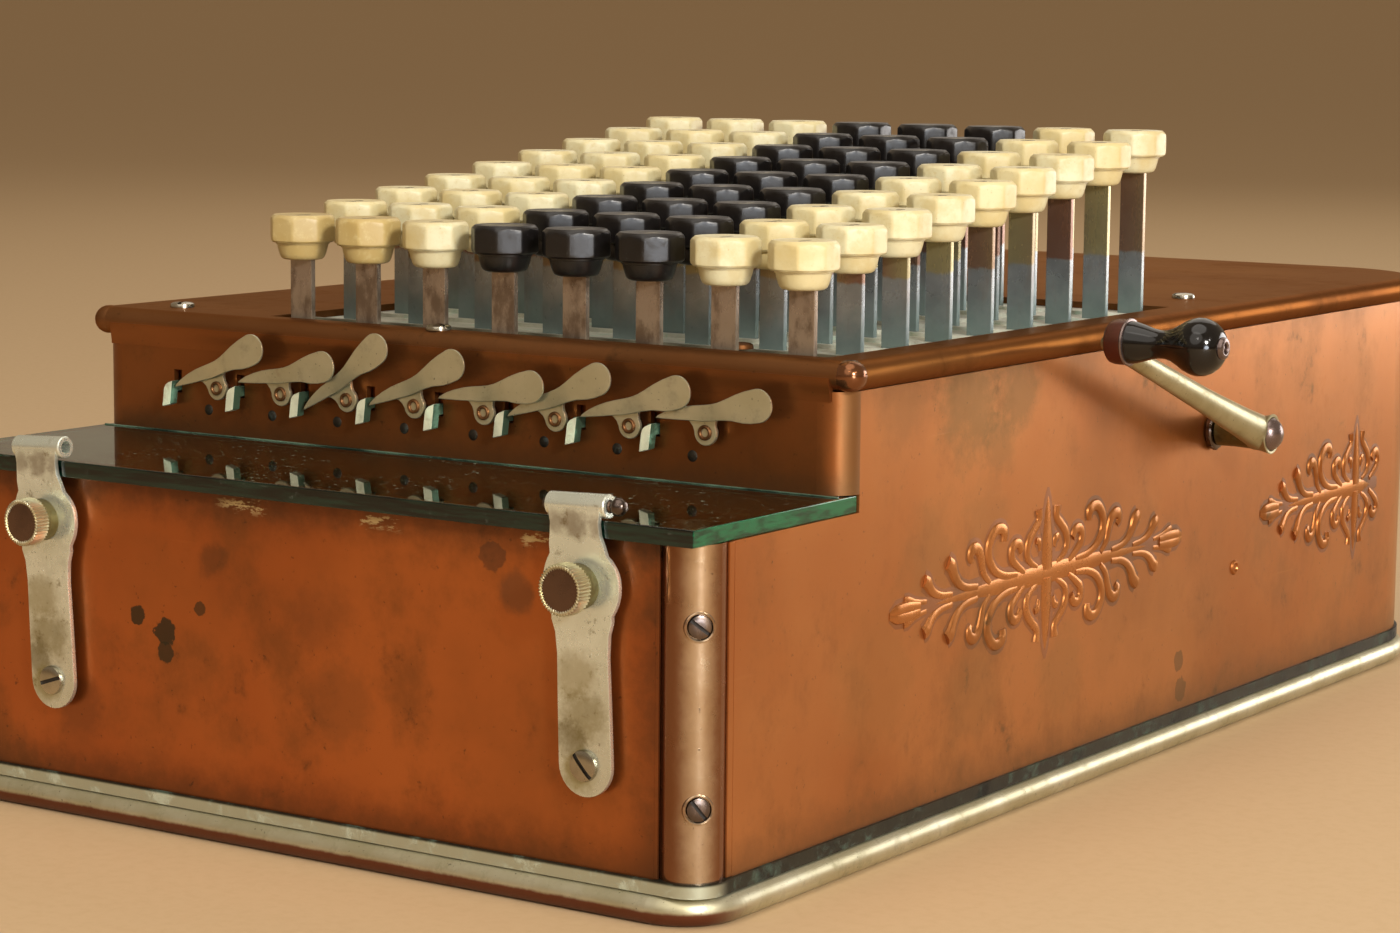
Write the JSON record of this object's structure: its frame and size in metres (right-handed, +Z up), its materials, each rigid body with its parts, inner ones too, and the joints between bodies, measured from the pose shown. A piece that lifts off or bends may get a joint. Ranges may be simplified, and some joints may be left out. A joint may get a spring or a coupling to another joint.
{
  "type": "key-driven calculator",
  "caption": "Desk adding machine in an aged copper case: columns of octagonal keys on steel stems, cut-off levers over a glass-topped register ledge, and a side clearing crank.",
  "frame": {"origin": "centre of the base moulding's underside", "axes": "+Z up, -Y to the front where the operator sits, +X to the right, towards the crank"},
  "size_m": [0.2497, 0.3853, 0.1495],
  "materials": {
    "copper": "aged copper-plated sheet with dark patina, rubbed bright along the folds",
    "dark_copper": "brown oxidised copper",
    "nickel": "worn nickel plate, yellowed, copper showing at the edges",
    "base_nickel": "nickel-plated casting, worn to copper along the lower edge",
    "steel": "bright drawn steel",
    "dark_steel": "dark oxidised steel",
    "verdigris": "dull plate with grey-green tarnish",
    "ivory": "aged ivory celluloid, speckled",
    "ebonite": "black hard rubber, satin",
    "glass": "clear plate glass with green edges"
  },
  "bodies": {
    "case": {"base_moulding": "base_nickel", "sill_frame": "dark_steel", "front_panel": "copper", "left_side_panel": "copper", "right_side_panel": "copper", "rear_panel": "copper", "corner_posts": "copper", "lever_panel": "dark_copper", "top_plate": "copper", "key_plate": "verdigris", "register_plate": "dark_steel", "glass_plate": "glass", "glass_clips": "nickel", "case_screws": "nickel", "side_frames": "steel", "cross_rods": "steel", "stem_guide": "steel", "lever_springs": "steel"},
    "crank": {"crank_arm": "nickel", "crank_shaft": "steel"},
    "handle": {"crank_handle": "ebonite"},
    "clearing_bar": {"clearing_bar": "steel"},
    "units_wheel": {"units_wheel": "ivory"},
    "units_segment": {"units_segment": "steel"},
    "number_wheels": {"number_wheels": "ivory"},
    "segment_levers": {"segment_levers": "steel"},
    "thumb_screw_left": {"thumb_screw_left": "dark_steel"},
    "thumb_screw_right": {"thumb_screw_right": "dark_steel"},
    "units_key_1": {"units_key_1": "ivory"},
    "units_key_2": {"units_key_2": "ivory"},
    "units_key_3": {"units_key_3": "ivory"},
    "units_key_4": {"units_key_4": "ivory"},
    "units_key_5": {"units_key_5": "ivory"},
    "units_key_6": {"units_key_6": "ivory"},
    "units_key_7": {"units_key_7": "ivory"},
    "units_key_8": {"units_key_8": "ivory"},
    "units_key_9": {"units_key_9": "ivory"},
    "keys_tens": {"keys_tens": "ivory"},
    "keys_hundreds": {"keys_hundreds": "ebonite"},
    "keys_thousands": {"keys_thousands": "ebonite"},
    "keys_ten_thousands": {"keys_ten_thousands": "ebonite"},
    "keys_hundred_thousands": {"keys_hundred_thousands": "ivory"},
    "keys_millions": {"keys_millions": "ivory"},
    "keys_ten_millions": {"keys_ten_millions": "ivory"},
    "cutoff_lever_1": {"cutoff_lever_1": "nickel"},
    "cutoff_lever_2": {"cutoff_lever_2": "nickel"},
    "cutoff_lever_3": {"cutoff_lever_3": "nickel"},
    "cutoff_lever_4": {"cutoff_lever_4": "nickel"},
    "cutoff_lever_5": {"cutoff_lever_5": "nickel"},
    "cutoff_lever_6": {"cutoff_lever_6": "nickel"},
    "cutoff_lever_7": {"cutoff_lever_7": "nickel"},
    "cutoff_lever_8": {"cutoff_lever_8": "nickel"},
    "carry_tab_1": {"carry_tab_1": "verdigris"},
    "carry_tab_2": {"carry_tab_2": "verdigris"},
    "carry_tab_3": {"carry_tab_3": "verdigris"},
    "carry_tab_4": {"carry_tab_4": "verdigris"},
    "carry_tab_5": {"carry_tab_5": "verdigris"},
    "carry_tab_6": {"carry_tab_6": "verdigris"},
    "carry_tab_7": {"carry_tab_7": "verdigris"},
    "carry_tab_8": {"carry_tab_8": "verdigris"}
  },
  "joints": [
    {"name": "crank_turn", "type": "hinge", "parent": "case", "child": "crank", "pos_m": [0.1024, 0.038, 0.0765], "axis": [-1, 0, 0], "range_deg": [0, 100]},
    {"name": "handle_spin", "type": "hinge", "parent": "crank", "child": "handle", "pos_m": [0.1224, -0.04549, 0.10525], "axis": [1, 0, 0], "continuous": true},
    {"name": "clearing_slide", "type": "slide", "parent": "case", "child": "clearing_bar", "axis": [0, -1, 0], "range_m": [0, 0.0158]},
    {"name": "units_key_9_press", "type": "slide", "parent": "case", "child": "units_key_9", "axis": [0, 0, -1], "range_m": [0, 0.00687], "stiffness_N_per_m": 60, "springref_m": -0.002},
    {"name": "units_key_8_press", "type": "slide", "parent": "case", "child": "units_key_8", "axis": [0, 0, -1], "range_m": [0, 0.00757], "stiffness_N_per_m": 60, "springref_m": -0.002},
    {"name": "units_key_7_press", "type": "slide", "parent": "case", "child": "units_key_7", "axis": [0, 0, -1], "range_m": [0, 0.00791], "stiffness_N_per_m": 60, "springref_m": -0.002},
    {"name": "units_key_6_press", "type": "slide", "parent": "case", "child": "units_key_6", "axis": [0, 0, -1], "range_m": [0, 0.00788], "stiffness_N_per_m": 60, "springref_m": -0.002},
    {"name": "units_key_5_press", "type": "slide", "parent": "case", "child": "units_key_5", "axis": [0, 0, -1], "range_m": [0, 0.00748], "stiffness_N_per_m": 60, "springref_m": -0.002},
    {"name": "units_key_4_press", "type": "slide", "parent": "case", "child": "units_key_4", "axis": [0, 0, -1], "range_m": [0, 0.00672], "stiffness_N_per_m": 60, "springref_m": -0.002},
    {"name": "units_key_3_press", "type": "slide", "parent": "case", "child": "units_key_3", "axis": [0, 0, -1], "range_m": [0, 0.00559], "stiffness_N_per_m": 60, "springref_m": -0.002},
    {"name": "units_key_2_press", "type": "slide", "parent": "case", "child": "units_key_2", "axis": [0, 0, -1], "range_m": [0, 0.00409], "stiffness_N_per_m": 60, "springref_m": -0.002},
    {"name": "units_key_1_press", "type": "slide", "parent": "case", "child": "units_key_1", "axis": [0, 0, -1], "range_m": [0, 0.00223], "stiffness_N_per_m": 60, "springref_m": -0.002},
    {"name": "tens_keys_press", "type": "slide", "parent": "case", "child": "keys_tens", "axis": [0, 0, -1], "range_m": [0, 0.0062], "stiffness_N_per_m": 400, "springref_m": -0.002},
    {"name": "hundreds_keys_press", "type": "slide", "parent": "case", "child": "keys_hundreds", "axis": [0, 0, -1], "range_m": [0, 0.0062], "stiffness_N_per_m": 400, "springref_m": -0.002},
    {"name": "thousands_keys_press", "type": "slide", "parent": "case", "child": "keys_thousands", "axis": [0, 0, -1], "range_m": [0, 0.0062], "stiffness_N_per_m": 400, "springref_m": -0.002},
    {"name": "ten_thousands_keys_press", "type": "slide", "parent": "case", "child": "keys_ten_thousands", "axis": [0, 0, -1], "range_m": [0, 0.0062], "stiffness_N_per_m": 400, "springref_m": -0.002},
    {"name": "hundred_thousands_keys_press", "type": "slide", "parent": "case", "child": "keys_hundred_thousands", "axis": [0, 0, -1], "range_m": [0, 0.0062], "stiffness_N_per_m": 400, "springref_m": -0.002},
    {"name": "millions_keys_press", "type": "slide", "parent": "case", "child": "keys_millions", "axis": [0, 0, -1], "range_m": [0, 0.0062], "stiffness_N_per_m": 400, "springref_m": -0.002},
    {"name": "ten_millions_keys_press", "type": "slide", "parent": "case", "child": "keys_ten_millions", "axis": [0, 0, -1], "range_m": [0, 0.0062], "stiffness_N_per_m": 400, "springref_m": -0.002},
    {"name": "units_wheel_turn", "type": "hinge", "parent": "case", "child": "units_wheel", "pos_m": [0.0822, -0.16, 0.045], "axis": [-1, 0, 0], "range_deg": [0, 324]},
    {"name": "units_segment_swing", "type": "hinge", "parent": "case", "child": "units_segment", "pos_m": [0.0872, 0.1, 0.058], "axis": [1, 0, 0], "range_deg": [0, 5.06], "stiffness_Nm_per_rad": 0.25, "springref_deg": -34.38, "deforming": ["lever_springs"]},
    {"name": "wheel_bank_turn", "type": "hinge", "parent": "case", "child": "number_wheels", "pos_m": [0, -0.16, 0.045], "axis": [-1, 0, 0], "range_deg": [0, 324]},
    {"name": "segment_bank_swing", "type": "hinge", "parent": "case", "child": "segment_levers", "pos_m": [0, 0.1, 0.058], "axis": [1, 0, 0], "range_deg": [0, 5.06], "stiffness_Nm_per_rad": 1.5, "springref_deg": -34.38, "deforming": ["lever_springs"]},
    {"name": "cutoff_lever_8_tilt", "type": "hinge", "parent": "case", "child": "cutoff_lever_8", "pos_m": [0.0705, -0.1356, 0.0903], "axis": [0, -1, 0], "range_deg": [-1, 27]},
    {"name": "cutoff_lever_7_tilt", "type": "hinge", "parent": "case", "child": "cutoff_lever_7", "pos_m": [0.0513, -0.1356, 0.0903], "axis": [0, -1, 0], "range_deg": [-7, 21]},
    {"name": "cutoff_lever_6_tilt", "type": "hinge", "parent": "case", "child": "cutoff_lever_6", "pos_m": [0.0321, -0.1356, 0.0903], "axis": [0, -1, 0], "range_deg": [-13, 15]},
    {"name": "cutoff_lever_5_tilt", "type": "hinge", "parent": "case", "child": "cutoff_lever_5", "pos_m": [0.0129, -0.1356, 0.0903], "axis": [0, -1, 0], "range_deg": [-1, 27]},
    {"name": "cutoff_lever_4_tilt", "type": "hinge", "parent": "case", "child": "cutoff_lever_4", "pos_m": [-0.0063, -0.1356, 0.0903], "axis": [0, -1, 0], "range_deg": [-15, 13]},
    {"name": "cutoff_lever_3_tilt", "type": "hinge", "parent": "case", "child": "cutoff_lever_3", "pos_m": [-0.0255, -0.1356, 0.0903], "axis": [0, -1, 0], "range_deg": [-26, 2]},
    {"name": "cutoff_lever_2_tilt", "type": "hinge", "parent": "case", "child": "cutoff_lever_2", "pos_m": [-0.0447, -0.1356, 0.0903], "axis": [0, -1, 0], "range_deg": [-3, 25]},
    {"name": "cutoff_lever_1_tilt", "type": "hinge", "parent": "case", "child": "cutoff_lever_1", "pos_m": [-0.0639, -0.1356, 0.0903], "axis": [0, -1, 0], "range_deg": [-14, 14]},
    {"name": "carry_tab_8_lift", "type": "slide", "parent": "case", "child": "carry_tab_8", "axis": [0, 0, 1], "range_m": [0, 0.0025]},
    {"name": "carry_tab_7_lift", "type": "slide", "parent": "case", "child": "carry_tab_7", "axis": [0, 0, 1], "range_m": [0, 0.0025]},
    {"name": "carry_tab_6_lift", "type": "slide", "parent": "case", "child": "carry_tab_6", "axis": [0, 0, 1], "range_m": [0, 0.0025]},
    {"name": "carry_tab_5_lift", "type": "slide", "parent": "case", "child": "carry_tab_5", "axis": [0, 0, 1], "range_m": [0, 0.0025]},
    {"name": "carry_tab_4_lift", "type": "slide", "parent": "case", "child": "carry_tab_4", "axis": [0, 0, 1], "range_m": [0, 0.0025]},
    {"name": "carry_tab_3_lift", "type": "slide", "parent": "case", "child": "carry_tab_3", "axis": [0, 0, 1], "range_m": [0, 0.0025]},
    {"name": "carry_tab_2_lift", "type": "slide", "parent": "case", "child": "carry_tab_2", "axis": [0, 0, 1], "range_m": [0, 0.0025]},
    {"name": "carry_tab_1_lift", "type": "slide", "parent": "case", "child": "carry_tab_1", "axis": [0, 0, 1], "range_m": [0, 0.0025]},
    {"name": "thumb_screw_right_turn", "type": "hinge", "parent": "case", "child": "thumb_screw_right", "pos_m": [0.0756, -0.1942, 0.0657], "axis": [0, -1, 0], "continuous": true},
    {"name": "thumb_screw_left_turn", "type": "hinge", "parent": "case", "child": "thumb_screw_left", "pos_m": [-0.0686, -0.1942, 0.0657], "axis": [0, -1, 0], "continuous": true}
  ],
  "couplings": [
    {"joint": "clearing_slide", "follows": "crank_turn", "m_per_rad": 0.009},
    {"joint": "units_segment_swing", "follows": "units_wheel_turn", "ratio": 0.015611},
    {"joint": "segment_bank_swing", "follows": "wheel_bank_turn", "ratio": 0.015611}
  ]
}
